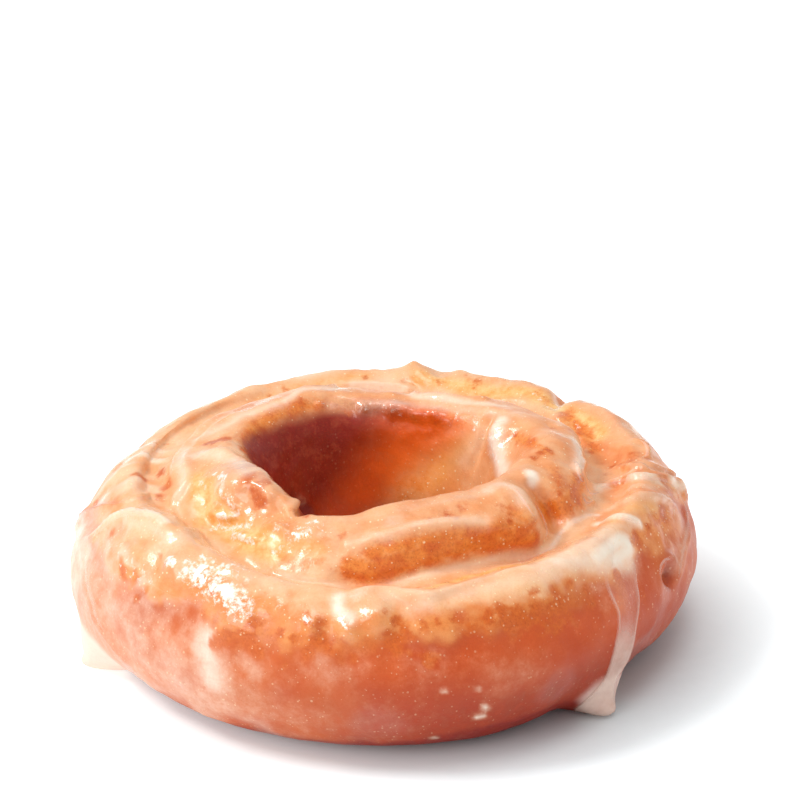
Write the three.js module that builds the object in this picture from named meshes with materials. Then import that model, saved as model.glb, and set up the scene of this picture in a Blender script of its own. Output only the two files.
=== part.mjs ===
// A glazed old-fashioned ring doughnut: one piece of fried cake dough under a sugar glaze.
//
// Units are millimetres and +Z is up. The doughnut lies on z = 0, and the finished shape is moved
// so that its box is centred on the origin. Azimuths are in degrees about the hole,
// anticlockwise from +X as seen from above, so 270 is the front.
//
// A cut through one side shows a tall collar round the hole, a groove outside it, and a broad
// outer ring that bulges over the base. The dough split along the groove as it fried, so collar
// and ring swell, lean and fold differently all the way round. Two tongues of set glaze run off
// the ring to the surface below.
import * as THREE from "three";

// Driving dimensions
const OUTER_RADIUS = 48; // the belly of the outer ring
const RING_RADIUS = 39; // the crest of the outer ring
const RING_HEIGHT = 26.2;
const GROOVE_RADIUS = 32.4;
const GROOVE_HEIGHT = 23.4;
const COLLAR_RADIUS = 22; // the crest of the collar
const COLLAR_HEIGHT = 31;
const HOLE_RADIUS = 15.4; // the narrowest part of the hole
const BASE_INNER_RADIUS = 21;
const BASE_OUTER_RADIUS = 38;

// How finely the surface is cut
const STEPS_AROUND = 120;

// The places that a section passes through, from the inner edge of the flat base up the wall of
// the hole, over the collar, through the groove, over the outer ring and back under it. steps is
// the number of facets from a place to the next.
const SECTION = [
  { place: "holeFoot", r: BASE_INNER_RADIUS, z: 0, steps: 2 },
  { place: "holeFlare", r: HOLE_RADIUS + 2.2, z: 3, steps: 2 },
  { place: "holeWaist", r: HOLE_RADIUS, z: 11, steps: 2 },
  { place: "holeNeck", r: HOLE_RADIUS + 0.6, z: 20, steps: 3 },
  { place: "collarLip", r: HOLE_RADIUS + 2.4, z: COLLAR_HEIGHT - 3.8, steps: 3 },
  { place: "collarCrest", r: COLLAR_RADIUS, z: COLLAR_HEIGHT, steps: 3 },
  { place: "collarShoulder", r: COLLAR_RADIUS + 6.4, z: COLLAR_HEIGHT - 2.4, steps: 3 },
  { place: "collarFoot", r: GROOVE_RADIUS - 1.4, z: GROOVE_HEIGHT + 2, steps: 2 },
  { place: "groove", r: GROOVE_RADIUS, z: GROOVE_HEIGHT, steps: 2 },
  { place: "ringRise", r: GROOVE_RADIUS + 2.4, z: RING_HEIGHT - 1.6, steps: 3 },
  { place: "ringCrest", r: RING_RADIUS, z: RING_HEIGHT, steps: 3 },
  { place: "ringShoulder", r: OUTER_RADIUS - 3.8, z: RING_HEIGHT - 4, steps: 4 },
  { place: "belly", r: OUTER_RADIUS, z: RING_HEIGHT / 2, steps: 4 },
  { place: "underBelly", r: OUTER_RADIUS - 2.8, z: 4.6, steps: 3 },
  { place: "baseEdge", r: BASE_OUTER_RADIUS, z: 0, steps: 4 },
];

// Groups of places that move together
const COLLAR_EDGE = ["collarLip", "collarCrest"];
const COLLAR_WALL = ["collarShoulder", "collarFoot"];
const GROOVE_LINE = ["collarFoot", "groove", "ringRise"];
const RING_TOP = ["ringRise", "ringCrest", "ringShoulder"];
const RING_SIDE = ["ringShoulder", "belly", "underBelly"];

// Where the dough swelled or sank. A lobe moves its places outwards (out) and upwards (up) at its
// azimuth, and fades away over the angles before and after it.
const LOBES = [
  // The outline of the whole ring
  { at: 35, before: 60, after: 60, places: [...RING_SIDE, "ringCrest"], out: 0.8, up: 0.8 },
  { at: 90, before: 50, after: 50, places: RING_TOP, out: 0, up: -0.2 },
  { at: 145, before: 50, after: 50, places: [...RING_SIDE, "ringCrest"], out: -2, up: 0 },
  { at: 325, before: 40, after: 40, places: [...RING_SIDE, "baseEdge"], out: -2.4, up: 0.4 },
  // The groove wanders, and glaze has filled it at the left and the right
  { at: 250, before: 45, after: 30, places: GROOVE_LINE, out: 1.9, up: -0.2 },
  { at: 185, before: 40, after: 30, places: GROOVE_LINE, out: 1.4, up: 0 },
  { at: 298, before: 20, after: 30, places: GROOVE_LINE, out: -1.4, up: 0 },
  { at: 162, before: 70, after: 50, places: ["collarFoot", "groove"], out: 0, up: 1.7 },
  { at: 0, before: 40, after: 60, places: ["collarFoot", "groove"], out: 0, up: 1 },
  { at: 155, before: 60, after: 45, places: ["ringRise"], out: 1.2, up: 0.4 },
  { at: 0, before: 40, after: 50, places: ["ringRise"], out: 1.2, up: -0.4 },
  // The low front of the ring
  { at: 275, before: 70, after: 60, places: ["ringRise", "ringCrest"], out: 0.6, up: -0.9 },
  // The fold at the left end of the front
  { at: 208, before: 12, after: 50, places: RING_TOP, out: 0, up: 1.3 },
  { at: 186, before: 40, after: 11, places: RING_TOP, out: 0, up: -0.8 },
  // The notch in the back of the ring
  { at: 46, before: 8, after: 5, places: ["ringCrest", "ringShoulder"], out: -1, up: -1.6 },
  // The collar's front log, straight across the front, with a blunt tip at its right end
  { at: 250, before: 36, after: 28, places: COLLAR_EDGE, out: 3.4, up: -1 },
  { at: 250, before: 20, after: 30, places: COLLAR_WALL, out: 1, up: -1 },
  { at: 290, before: 24, after: 24, places: ["collarShoulder"], out: 0.4, up: 0.8 },
  { at: 294, before: 22, after: 20, places: COLLAR_EDGE, out: -0.8, up: -0.2 },
  { at: 314, before: 20, after: 8, places: COLLAR_WALL, out: 1.4, up: 0.4 },
  { at: 327, before: 8, after: 10, places: COLLAR_WALL, out: -1.8, up: -1 },
  // The crack between the log and the knob that leans over the hole from the left
  { at: 238, before: 5, after: 5, places: COLLAR_EDGE, out: 1, up: -1.4 },
  { at: 212, before: 28, after: 22, places: COLLAR_EDGE, out: 1.8, up: 0.6 },
  // The wide left side of the collar, and its gentle slope to the front
  { at: 174, before: 50, after: 30, places: [...COLLAR_EDGE, "collarShoulder"], out: 1.5, up: -0.8 },
  { at: 218, before: 22, after: 22, places: COLLAR_WALL, out: -1.5, up: -1.6 },
  // The low back of the collar
  { at: 78, before: 60, after: 60, places: COLLAR_EDGE, out: -1.6, up: -1.2 },
  { at: 78, before: 44, after: 44, places: ["collarShoulder"], out: -2.4, up: -1 },
  // The wide right side of the collar
  { at: 6, before: 40, after: 34, places: [...COLLAR_EDGE, "collarShoulder"], out: 1.8, up: 0 },
  // The tongues of glaze that run down to the surface below
  { at: 198, before: 7, after: 7, places: ["baseEdge"], out: 8.6, up: 0 },
  { at: 198, before: 8, after: 8, places: ["underBelly"], out: 1.4, up: -1.4 },
  { at: 318, before: 8, after: 6, places: ["baseEdge"], out: 9, up: 0 },
  { at: 319, before: 7, after: 6, places: ["underBelly"], out: 1.2, up: -1.6 },
  { at: 321, before: 5, after: 5, places: ["ringShoulder", "belly"], out: 0.8, up: 0 },
];

// From 0 to 1 and back as azimuth passes a lobe.
function lobeShare(azimuth, { at, before, after }) {
  const away = THREE.MathUtils.euclideanModulo(azimuth - at + 180, 360) - 180;
  const share = Math.min(1, Math.abs(away) / (away < 0 ? before : after));
  return (1 + Math.cos(Math.PI * share)) / 2;
}

// A place's radius and height at one azimuth, with every lobe that moves it.
function placeAt({ place, r, z }, azimuth) {
  const spot = new THREE.Vector3(r, z, 0);
  for (const lobe of LOBES) {
    if (lobe.places.includes(place)) {
      const share = lobeShare(azimuth, lobe);
      spot.x += lobe.out * share;
      spot.y += lobe.up * share;
    }
  }
  return spot;
}

// The outline of the section at one azimuth, as points from the inner edge of the base round.
function sectionAt(azimuth) {
  const turn = THREE.MathUtils.degToRad(azimuth);
  const spots = SECTION.map((entry) => placeAt(entry, azimuth));
  const outline = new THREE.CatmullRomCurve3(spots, true, "catmullrom", 0.5);
  const points = [];
  SECTION.forEach(({ place, steps }, index) => {
    for (let step = 0; step < steps; step += 1) {
      const { x: radius, y: height } = outline.getPoint((index + step / steps) / SECTION.length);
      const z = place === "baseEdge" ? 0 : Math.max(height, 0);
      points.push(new THREE.Vector3(radius * Math.cos(turn), radius * Math.sin(turn), z));
    }
  });
  return points;
}

// A closed surface through rings of points, each joined to the next and the last to the first.
function closedSurface(sections) {
  const around = sections.length;
  const along = sections[0].length;
  const positions = sections.flat().flatMap((point) => point.toArray());
  const faces = [];
  for (let i = 0; i < around; i += 1) {
    for (let j = 0; j < along; j += 1) {
      const here = i * along + j;
      const up = i * along + ((j + 1) % along);
      const next = ((i + 1) % around) * along + j;
      const nextUp = ((i + 1) % around) * along + ((j + 1) % along);
      faces.push(here, up, nextUp, here, nextUp, next);
    }
  }
  const geometry = new THREE.BufferGeometry();
  geometry.setAttribute("position", new THREE.Float32BufferAttribute(positions, 3));
  geometry.setIndex(faces);
  geometry.computeVertexNormals();
  return geometry;
}

// Moves a geometry sideways until its box is centred on the origin. Heights stay as they are.
function centreSideways(geometry) {
  geometry.computeBoundingBox();
  const middle = geometry.boundingBox.getCenter(new THREE.Vector3());
  return geometry.translate(-middle.x, -middle.y, 0);
}

const sections = Array.from({ length: STEPS_AROUND }, (_, i) => sectionAt((i * 360) / STEPS_AROUND));
const crust = new THREE.MeshStandardMaterial({ color: 0xd98a55, roughness: 0.35, metalness: 0 });
const doughnut = new THREE.Mesh(centreSideways(closedSurface(sections)), crust);
doughnut.name = "doughnut";

const part = new THREE.Group();
part.add(doughnut);

export default part;
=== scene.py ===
# %% [markdown]
# # A glazed old-fashioned doughnut
#
# This lesson dresses a plain solid of a ring doughnut until it looks fried and glazed. The solid
# already has the right size and its main forms: a broad outer ring, a groove, and a raised
# collar of folded dough round the hole. What it lacks is everything smaller than about three
# millimetres, and all of its colour. We start by loading the solid, which we never move or edit.

# %% Load the solid
import math

import bmesh
import bpy
import numpy as np
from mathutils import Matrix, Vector, noise
from mathutils.bvhtree import BVHTree


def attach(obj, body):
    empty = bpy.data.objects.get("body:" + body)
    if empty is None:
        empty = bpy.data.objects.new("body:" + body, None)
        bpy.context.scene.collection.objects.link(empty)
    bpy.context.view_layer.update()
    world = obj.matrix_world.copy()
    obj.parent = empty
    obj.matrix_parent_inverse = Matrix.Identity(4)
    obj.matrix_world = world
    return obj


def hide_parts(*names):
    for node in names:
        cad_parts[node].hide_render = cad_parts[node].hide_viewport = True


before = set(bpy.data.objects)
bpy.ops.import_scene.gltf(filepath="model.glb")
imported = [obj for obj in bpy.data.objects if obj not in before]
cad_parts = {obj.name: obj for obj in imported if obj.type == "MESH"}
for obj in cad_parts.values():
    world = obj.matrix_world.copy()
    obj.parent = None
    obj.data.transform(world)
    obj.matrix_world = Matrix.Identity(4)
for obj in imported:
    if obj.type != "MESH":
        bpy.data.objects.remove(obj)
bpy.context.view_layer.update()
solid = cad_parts["doughnut"]

# %% [markdown]
# ## The camera comes first
#
# A photographer sees this doughnut from a little above the table. We place the camera before we
# model, because we will find the places of folds and glaze spots by looking through it. The
# camera stands far off with a long lens, which keeps the ring from looking stretched. It aims
# above the doughnut, so that the doughnut sits low in the picture.

# %% Camera
MM = 0.001
PICTURE = 800  # the picture is this many pixels wide and high
SENSOR = 36.0
VIEW_TILT = math.radians(26)
VIEW_DISTANCE = 600 * MM
PIXELS_PER_MM = 6.5  # at the middle of the doughnut
MIDDLE = Vector((-0.31, -0.01, 14.5)) * MM
MIDDLE_PIXEL = (384.5, 539.0)

backwards = Vector((0, -math.cos(VIEW_TILT), math.sin(VIEW_TILT)))
upwards = backwards.cross(Vector((1, 0, 0)))
camera_at = MIDDLE + backwards * VIEW_DISTANCE
raised = (MIDDLE_PIXEL[1] - PICTURE / 2) / PIXELS_PER_MM * MM
aside = (PICTURE / 2 - MIDDLE_PIXEL[0]) / PIXELS_PER_MM * MM
aim = MIDDLE + upwards * raised + Vector((1, 0, 0)) * aside

camera = bpy.data.objects.new("camera", bpy.data.cameras.new("camera"))
bpy.context.scene.collection.objects.link(camera)
camera.data.sensor_width = SENSOR
camera.data.lens = PIXELS_PER_MM * SENSOR * (VIEW_DISTANCE / MM) / PICTURE
camera.data.clip_start = 10 * MM
camera.location = camera_at
camera.rotation_euler = (aim - camera_at).to_track_quat("-Z", "Y").to_euler()
bpy.context.scene.camera = camera
print("camera at", tuple(round(c, 3) for c in camera_at), "lens", round(camera.data.lens, 1))

# %% [markdown]
# ## A finer skin for the dough
#
# Folds, wrinkles and pits need a dense mesh. The solid's mesh is loose triangles, so a copy is
# merged, its triangles are joined to four-sided faces, and two levels of subdivision round it
# off. That gives points about half a millimetre apart, fine enough to carve and still light.

# %% Dense copy of the dough
SUBDIVISIONS = 2
ANY_ANGLE = 3.1  # radians; any two triangles that make a four-sided face may join

copy = bmesh.new()
copy.from_mesh(solid.data)
bmesh.ops.remove_doubles(copy, verts=copy.verts, dist=0.001 * MM)
bmesh.ops.join_triangles(
    copy, faces=copy.faces, angle_face_threshold=ANY_ANGLE, angle_shape_threshold=ANY_ANGLE
)
rounded_mesh = bpy.data.meshes.new("rounded")
copy.to_mesh(rounded_mesh)
copy.free()
rounded = bpy.data.objects.new("rounded", rounded_mesh)
bpy.context.scene.collection.objects.link(rounded)
subdivision = rounded.modifiers.new("finer", "SUBSURF")
subdivision.levels = subdivision.render_levels = SUBDIVISIONS
bpy.context.view_layer.update()
dough_mesh = bpy.data.meshes.new_from_object(rounded.evaluated_get(bpy.context.evaluated_depsgraph_get()))
dough_mesh.name = "dough"
bpy.data.objects.remove(rounded)
print("dough skin:", len(dough_mesh.vertices), "points,", len(dough_mesh.polygons), "faces")

# %% [markdown]
# ## Coordinates that suit a ring
#
# On a doughnut it is easier to say "on the outside, at the left" than to give X, Y and Z. So
# every point gets an azimuth round the hole (270 is the front), a radius from the middle of the
# hole and a height, all as arrays, because arithmetic on whole arrays is quick.

# %% Where each point lies
def read(mesh, what):
    """The points or normals of a mesh as an array of three columns."""
    values = np.empty(len(mesh.vertices) * 3)
    mesh.vertices.foreach_get(what, values)
    return values.reshape(-1, 3)


def ease(value, low, high):
    """0 below low, 1 above high, and a smooth S between. high may be the smaller one."""
    share = np.clip((value - low) / (high - low), 0, 1)
    return share * share * (3 - 2 * share)


at = read(dough_mesh, "co") / MM
facing = read(dough_mesh, "normal")
hole_middle = np.array((MIDDLE.x, MIDDLE.y)) / MM
azimuth = np.degrees(np.arctan2(at[:, 1] - hole_middle[1], at[:, 0] - hole_middle[0])) % 360
radius = np.hypot(at[:, 0] - hole_middle[0], at[:, 1] - hole_middle[1])
height = at[:, 2]
print("radius from", radius.min().round(1), "to", radius.max().round(1), "mm")


def near_azimuth(middle, spread):
    """1 at an azimuth, fading to 0 at spread degrees to either side."""
    away = np.abs((azimuth - middle + 180) % 360 - 180)
    return ease(away, spread, 0)


# %% [markdown]
# ## Finding a place by looking at it
#
# A fold is easiest to place where one sees it. This helper sends a ray from the camera through a
# pixel of the picture and returns the point of dough that it meets. Everything placed like this
# lies on the dough from every side, because the ray stops at the dough's own surface. A stroke is
# a smooth curve through a few such pixels, and the skin's points are judged by their distance
# from it in millimetres.

# %% From a pixel to the dough
dough_tree = BVHTree.FromPolygons(
    [vertex.co for vertex in dough_mesh.vertices],
    [tuple(face.vertices) for face in dough_mesh.polygons],
)
camera_turn = camera.rotation_euler.to_matrix()


def on_dough(pixel, tree=dough_tree):
    """The point where the camera's ray through a pixel meets the surface, in metres."""
    across = (pixel[0] - PICTURE / 2) / PICTURE * SENSOR / camera.data.lens
    up = (PICTURE / 2 - pixel[1]) / PICTURE * SENSOR / camera.data.lens
    ray = (camera_turn @ Vector((across, up, -1))).normalized()
    hit = tree.ray_cast(camera_at, ray)[0]
    if hit is None:
        hit = tree.find_nearest(camera_at + ray * VIEW_DISTANCE)[0]
    return hit


def curve_point(points, share):
    """A point on the smooth curve through points, share from 0 to 1."""
    place = share * (len(points) - 1)
    index = min(int(place), len(points) - 2)
    t = place - index
    picks = [min(max(index + step, 0), len(points) - 1) for step in (-1, 0, 1, 2)]
    before, start, end, after = [np.array(points[pick], float) for pick in picks]
    bend = 2 * before - 5 * start + 4 * end - after
    twist = 3 * start - before - 3 * end + after
    return 0.5 * (2 * start + (end - before) * t + bend * t * t + twist * t**3)


def draw(pixels, tree=dough_tree):
    """A smooth stroke through pixels, as points on the dough in millimetres."""
    count = 4 * (len(pixels) - 1) + 1
    curve = [curve_point(pixels, k / (count - 1)) for k in range(count)]
    return np.array([on_dough(pixel, tree) for pixel in curve]) / MM


LEAP = 7.0  # mm; a longer step would leap from an edge to the dough behind it, and isn't drawn


def stroke(pixels, width, lean=0.0, power=2, fade=0.0):
    """1 along a stroke drawn on the dough, and 0 a few widths (in mm) away from it. lean makes one
    side wider and the other narrower, and fade takes it down towards its two ends."""
    line = draw(pixels)
    reach = 3 * width * (1 + abs(lean))
    inside = np.all((at > line.min(axis=0) - reach) & (at < line.max(axis=0) + reach), axis=1)
    near = np.flatnonzero(inside)
    nearest = np.full(len(near), np.inf)
    along = np.zeros(len(near))
    side = np.ones(len(near))
    for index, (start, end) in enumerate(zip(line[:-1], line[1:])):
        step = end - start
        if np.linalg.norm(step) > LEAP:
            continue
        share = np.clip((at[near] - start) @ step / (step @ step), 0, 1)
        offset = at[near] - start - share[:, None] * step
        distance = np.linalg.norm(offset, axis=1)
        closer = distance < nearest
        nearest = np.where(closer, distance, nearest)
        along = np.where(closer, (index + share) / (len(line) - 1), along)
        turn = np.einsum("ij,ij->i", np.cross(facing[near], step), offset)
        side = np.where(closer, np.where(turn < 0, -1, 1), side)
    weight = np.zeros(len(at))
    taper = np.clip(np.sin(np.pi * along), 0, 1) ** fade
    weight[near] = taper * np.exp(-((nearest / (width * (1 + lean * side))) ** power))
    return weight


def blot(pixel, size):
    """1 at a place on the dough, fading out over about size millimetres."""
    place = np.array(on_dough(pixel)) / MM
    return np.exp(-((np.linalg.norm(at - place, axis=1) / size) ** 2))


print("the pale pool of glaze lies at", tuple(round(c, 4) for c in on_dough((600, 548))))

# %% [markdown]
# ## Folds
#
# Cake dough splits as it fries and the split edges curl over. Each fold here is a stroke with a
# height in millimetres (negative for a crease), a width, and a lean: a fold that leans has one
# steep and one gentle side, as an edge that has curled over does.

# %% Strokes of folds and creases
# name: (height, width, lean, pixels)
FOLDS = {
    "log_second_roll": (0.9, 1.3, 0.3, [(345, 548), (370, 539), (410, 530), (440, 525), (483, 523)]),
    "log_crease": (-0.8, 1.0, 0, [(350, 540), (373, 530), (405, 523), (440, 516), (478, 511)]),
    "log_wall": (-0.5, 1.8, 0, [(350, 566), (400, 560), (450, 548), (500, 538), (536, 534)]),
    "log_tip_pad": (0.9, 2.0, 0, [(492, 496), (510, 494), (526, 508), (534, 526)]),
    "log_tip_crease": (-1.4, 1.1, 0, [(557, 534), (554, 514), (543, 496), (526, 481)]),
    "log_foot_crease": (
        -0.9, 1.0, 0,
        [(330, 574), (372, 582), (436, 568), (492, 557), (538, 550), (550, 538)],
    ),
    "ring_inner_ridge": (
        0.8, 1.0, 0.35,
        [(331, 600), (349, 598), (366, 592), (388, 591), (407, 594), (431, 596), (447, 591),
         (473, 582), (520, 569), (560, 569)],
    ),
    "left_fold": (
        1.1, 1.2, -0.45,
        [(77, 545), (87, 541), (103, 528), (117, 517), (134, 514), (153, 518), (165, 525), (177, 532),
         (208, 534), (232, 549)],
    ),
    "left_fold_upper": (1.1, 1.0, -0.4, [(75, 534), (86, 517), (101, 508), (120, 504)]),
    "left_wrinkle_a": (0.7, 0.8, 0.3, [(120, 502), (136, 498), (150, 498), (162, 501)]),
    "left_wrinkle_b": (0.4, 1.4, 0.3, [(118, 474), (138, 466), (158, 468), (166, 478)]),
    "left_wrinkle_c": (0.4, 0.9, 0, [(146, 484), (158, 490), (166, 498)]),
    "left_wrinkle_d": (0.4, 1.4, 0, [(126, 488), (140, 482), (152, 486)]),
    "left_glaze_edge": (
        0.7, 0.8, 0,
        [(194, 447), (187, 461), (189, 476), (180, 490), (174, 500), (172, 516), (177, 530)],
    ),
    "left_curtain": (
        0.7, 1.0, 0.3,
        [(86, 545), (84, 568), (86, 585), (93, 602), (96, 616), (105, 633), (117, 650), (128, 664)],
    ),
    "left_collar_fold_a": (0.6, 0.9, 0.2, [(196, 448), (206, 436), (222, 424), (244, 412)]),
    "left_collar_fold_b": (0.6, 0.9, 0, [(198, 456), (214, 452), (230, 454), (244, 462)]),
    "collar_left_rim": (0.6, 1.0, 0, [(240, 459), (252, 470), (262, 484), (270, 496), (282, 503)]),
    "knob_crease": (-0.9, 1.0, 0, [(272, 498), (282, 510), (290, 522)]),
    "back_rim": (
        0.7, 0.8, 0.3,
        [(284, 401), (301, 391), (325, 388), (362, 385), (398, 388), (422, 395), (471, 400),
         (519, 400), (544, 408)],
    ),
    "back_wall_roll": (
        1.2, 1.1, 0,
        [(356, 406), (384, 407), (400, 409), (416, 414), (436, 416), (452, 423)],
    ),
    "knob_facet_a": (0.9, 0.8, 0.4, [(207, 512), (216, 516), (228, 520), (240, 518)]),
    "knob_facet_b": (0.9, 0.7, 0.4, [(232, 536), (242, 538), (254, 541), (262, 536)]),
    "knob_facet_c": (0.7, 0.7, 0, [(262, 528), (272, 524), (282, 528), (286, 538)]),
    "knob_facet_d": (0.6, 0.7, 0, [(226, 496), (238, 504), (246, 514), (250, 526)]),
    "flap_edge": (0.9, 0.7, 0.2, [(291, 516), (295, 506), (300, 501), (310, 508), (316, 514)]),
    "back_wall_hollow": (-0.5, 1.4, 0, [(300, 404), (330, 402), (364, 412), (390, 414)]),
    "right_slope_crease": (-0.9, 1.0, 0, [(470, 474), (480, 446), (488, 422), (494, 412)]),
    "right_slope_pad": (1.1, 2.0, 0, [(500, 422), (498, 440), (501, 458), (505, 476)]),
    "right_collar_roll": (0.7, 2.2, 0, [(515, 404), (540, 412), (560, 426), (574, 444), (580, 464)]),
    "right_collar_edge": (
        0.7, 0.8, 0.3,
        [(539, 406), (556, 420), (571, 434), (583, 442), (588, 453), (586, 464)],
    ),
    "right_tear_a": (0.7, 0.5, 0, [(577, 462), (578, 472), (583, 481)]),
    "right_tear_b": (0.8, 0.5, 0, [(583, 496), (589, 503), (594, 500)]),
    "right_tear_hollow": (-1.2, 1.6, 0, [(590, 466), (594, 478), (598, 484)]),
    "right_pale_fold": (0.9, 1.0, 0.3, [(598, 522), (616, 518), (631, 521), (641, 525)]),
    "right_wrinkle_a": (
        1.0, 0.8, 0.3,
        [(597, 489), (619, 481), (641, 478), (663, 480), (677, 489), (685, 505)],
    ),
    "right_wrinkle_b": (0.8, 0.8, 0.3, [(646, 462), (668, 472), (682, 486), (690, 500)]),
    "right_wrinkle_c": (0.8, 0.8, 0.2, [(608, 508), (621, 502), (641, 497), (663, 500), (678, 509)]),
    "right_wrinkle_d": (0.6, 0.8, 0, [(612, 470), (630, 466), (648, 468)]),
    "right_wrinkle_e": (0.7, 0.7, 0.2, [(632, 438), (646, 446), (647, 456)]),
    "right_edge_fold": (0.7, 0.9, 0.2, [(685, 508), (689, 526), (685, 545), (681, 563), (677, 586)]),
    "right_pit_lip": (0.8, 0.7, 0, [(660, 572), (662, 562), (668, 558), (675, 566), (679, 578)]),
    "right_pit_floor": (-2.2, 1.4, 0, [(664, 568), (669, 574), (668, 584)]),
    "notch_crease": (-0.9, 1.2, 0, [(566, 398), (556, 404), (545, 412)]),
    "back_fold_a": (0.6, 1.0, 0.3, [(572, 404), (590, 408), (610, 420), (622, 434)]),
    "back_fold_b": (0.5, 0.9, 0, [(596, 440), (610, 446), (634, 448)]),
}

FOLD_FADE = 0.6  # how soon a fold flattens towards its two ends

relief = np.zeros(len(at))
for fold_height, width, lean, pixels in FOLDS.values():
    relief += fold_height * stroke(pixels, width, lean, fade=FOLD_FADE)
print(len(FOLDS), "folds, from", relief.min().round(2), "to", relief.max().round(2), "mm")

# %% Round lumps and pits
# name: (height, size, pixel)
LUMPS = {
    "knob": (1.5, 4.0, (240, 484)),
    "knob_hollow": (-0.9, 2.4, (206, 500)),
    "knob_front": (0.6, 2.4, (226, 508)),
    "knob_gap": (-0.9, 1.6, (272, 512)),
    "log_left_end": (0.9, 2.8, (312, 536)),
    "log_left_hollow": (-0.6, 2.2, (288, 548)),
    "log_tip": (0.9, 2.6, (500, 494)),
    "right_collar_boss": (0.6, 3.0, (552, 440)),
    "right_collar_hollow": (-0.5, 2.4, (540, 462)),
    "pale_bead": (0.5, 1.4, (531, 478)),
    "front_boss": (1.2, 2.0, (377, 618)),
    "front_boss_small": (0.9, 1.4, (348, 630)),
    "front_boss_left": (0.8, 1.3, (312, 625)),
    "front_hollow": (-0.6, 1.8, (326, 612)),
    "front_hollow_right": (-0.4, 1.8, (398, 628)),
    "left_boss": (0.9, 1.9, (173, 565)),
    "left_swell": (0.6, 4.5, (138, 566)),
    "left_valley": (-0.5, 2.4, (158, 560)),
    "back_hill": (1.0, 3.4, (414, 372)),
    "back_tip": (0.8, 1.1, (414, 370)),
    "left_shine_swell": (0.9, 5.0, (222, 606)),
    "left_shine_dip": (-0.5, 3.0, (256, 566)),
    "back_wall_glint_a": (0.7, 1.0, (392, 411)),
    "back_wall_glint_b": (0.5, 0.8, (364, 408)),
    "back_wall_glint_c": (0.5, 0.9, (436, 416)),
    "back_wall_glint_d": (0.4, 0.8, (321, 404)),
    "back_bump": (0.6, 1.5, (462, 372)),
    "back_dip": (-0.6, 1.8, (438, 372)),
}

for lump_height, size, pixel in LUMPS.values():
    relief += lump_height * blot(pixel, size)
print(len(LUMPS), "lumps and pits")

# %% Places where the glaze dried thick and glassy
# name: (size, pixel)
GLINTS = {
    "left_shoulder_upper": (4.0, (206, 578)),
    "left_shoulder_lower": (4.0, (234, 600)),
    "left_boss": (2.4, (174, 564)),
    "front_boss": (2.4, (372, 615)),
    "front_boss_small": (2.0, (347, 628)),
    "front_boss_left": (2.0, (311, 623)),
    "log_left": (3.4, (302, 534)),
    "knob_top": (3.0, (222, 478)),
    "knob_foot": (3.4, (240, 534)),
    "back_wall_left": (2.2, (364, 407)),
    "back_wall_middle": (3.0, (396, 410)),
    "back_wall_right": (3.0, (432, 417)),
    "slope_pad": (2.6, (500, 440)),
    "back_honey": (3.0, (560, 412)),
    "right_ring": (4.0, (660, 500)),
}
print(len(GLINTS), "glassy places")

# %% [markdown]
# ## The uneven crust
#
# No fried surface is smooth. Three sizes of noise stack up: broad swellings, crust lumps a few
# millimetres wide, and a fine crinkle of glaze that shrank as it dried. Noise that is stretched
# along the radius makes the wrinkles that run across the ring at the left and right. The flat
# base stays flat, so that the doughnut rests as the solid does.

# %% Parts of the skin
top = ease(facing[:, 2], 0.1, 0.7)
on_ring = ease(radius, 32, 35)
on_collar = ease(radius, 31, 28) * ease(height, 22, 26)
outwards = (at[:, :2] - hole_middle) / radius[:, None]
inward = -np.einsum("ij,ij->i", facing[:, :2], outwards)
facing_hole = ease(radius, 24, 21) * ease(inward, 0.2, 0.55)
low_in_hole = ease(radius, 28, 24) * ease(height, 12, 6)
in_hole = np.maximum(facing_hole, low_in_hole)
print("share in the hole", in_hole.mean().round(2), "and on the ring", on_ring.mean().round(2))

# %% Noise over the skin
BROAD_RISE = 0.55  # mm, as the four after it
LUMPY_RISE = 0.34
SMALL_RISE = 0.16
CRINKLE_RISE = 0.14
WRINKLE_RISE = 0.45
LEFT_WRINKLES_AT = 172  # azimuths
RIGHT_WRINKLES_AT = 352


def swell(size, seed):
    """Smooth noise over the skin, about -0.7 to 0.7, with lumps of a size in mm."""
    return np.array([noise.noise(Vector(place)) for place in at / size + seed])


broad = swell(13, 7.1)
lumpy = swell(4.6, 3.3)
small = swell(2.3, 9.7)
crinkle = swell(1.3, 5.9)
across_ring = np.column_stack((azimuth / 4.2, radius / 16, height / 30))
wrinkles = np.array([noise.noise(Vector(place)) for place in across_ring])

wrinkled_sides = near_azimuth(LEFT_WRINKLES_AT, 36) + near_azimuth(RIGHT_WRINKLES_AT, 40)
wrinkled = on_ring * top * wrinkled_sides
shiny_left = near_azimuth(234, 22) * on_ring * ease(height, 20, 23)
shiny_knob = near_azimuth(214, 24) * on_collar
crinkled = ease(swell(9, 1.4), 0.1, 0.45) * 0.5 + shiny_left + shiny_knob
for size, pixel in GLINTS.values():
    crinkled += blot(pixel, size)
crinkled = np.clip(crinkled, 0, 1)
print("glassy share", (crinkled > 0.5).mean().round(3))

# %% Add the noise to the relief
GROOVE_FILL = 0.9  # mm of glaze that lies in the groove at the back left
LEFT_BULGE = 0.5  # mm

relief += BROAD_RISE * broad + LUMPY_RISE * lumpy + SMALL_RISE * small
relief += CRINKLE_RISE * crinkle * (0.25 + crinkled) + WRINKLE_RISE * wrinkles * wrinkled
filled_groove = near_azimuth(145, 45) * np.exp(-(((radius - 32.5) / 2.6) ** 2)) * top
relief += GROOVE_FILL * filled_groove
left_side = near_azimuth(192, 24) * ease(radius, 44, 46.5)
relief += LEFT_BULGE * left_side
relief *= ease(height, 0.2, 3.5)
print("relief from", relief.min().round(2), "to", relief.max().round(2), "mm")

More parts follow.
